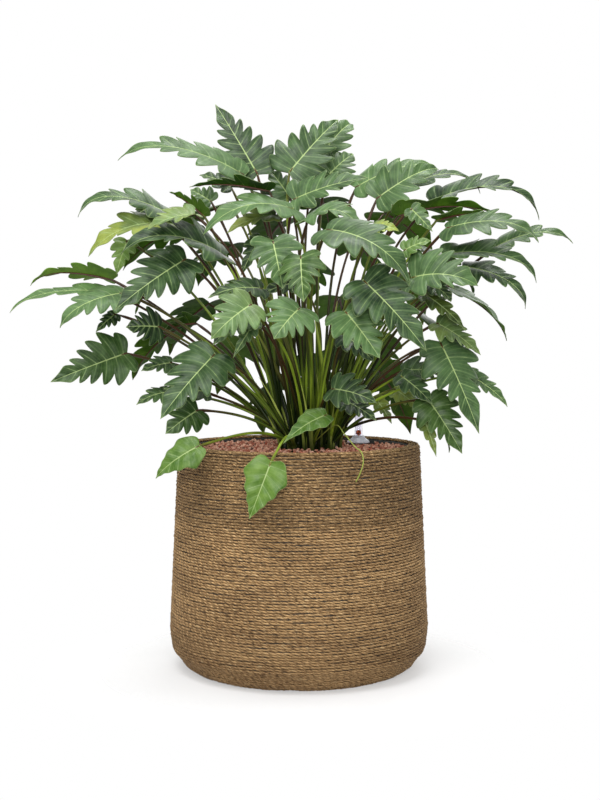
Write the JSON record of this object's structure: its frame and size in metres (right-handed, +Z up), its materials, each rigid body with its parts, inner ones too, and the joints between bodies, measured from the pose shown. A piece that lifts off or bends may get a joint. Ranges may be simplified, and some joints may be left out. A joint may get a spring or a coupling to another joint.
{
  "type": "potted philodendron xanadu",
  "caption": "Potted philodendron xanadu in a rope-wound planter filled with clay granules, with a water gauge.",
  "frame": {"origin": "middle of the planter's flat base, on the surface it stands on", "axes": "+Z up along the planter, the pictured side faces -Y, +X to the right seen from there"},
  "size_m": [0.7993, 0.5413, 0.835],
  "materials": {
    "planter_core": "moulded, matt dark grey",
    "rope": "twisted seagrass cord, matt",
    "granules": "broken fired clay, matt",
    "gauge_clear": "clear, polished",
    "gauge_float": "moulded, orange red",
    "gauge_collar": "moulded, pale grey",
    "foliage": "waxy leaf, satin above, duller below"
  },
  "bodies": {
    "root": {"planter_core": "planter_core", "rope_winding": "rope", "clay_granules": "granules", "gauge_tube": "gauge_clear", "gauge_float": "gauge_float", "gauge_collar": "gauge_collar", "shoot_01": "foliage", "shoot_02": "foliage", "shoot_03": "foliage", "shoot_04": "foliage", "shoot_05": "foliage", "shoot_06": "foliage", "shoot_07": "foliage", "shoot_08": "foliage", "shoot_09": "foliage", "shoot_10": "foliage", "shoot_11": "foliage", "shoot_12": "foliage", "shoot_13": "foliage", "shoot_14": "foliage", "shoot_15": "foliage"}
  },
  "joints": []
}
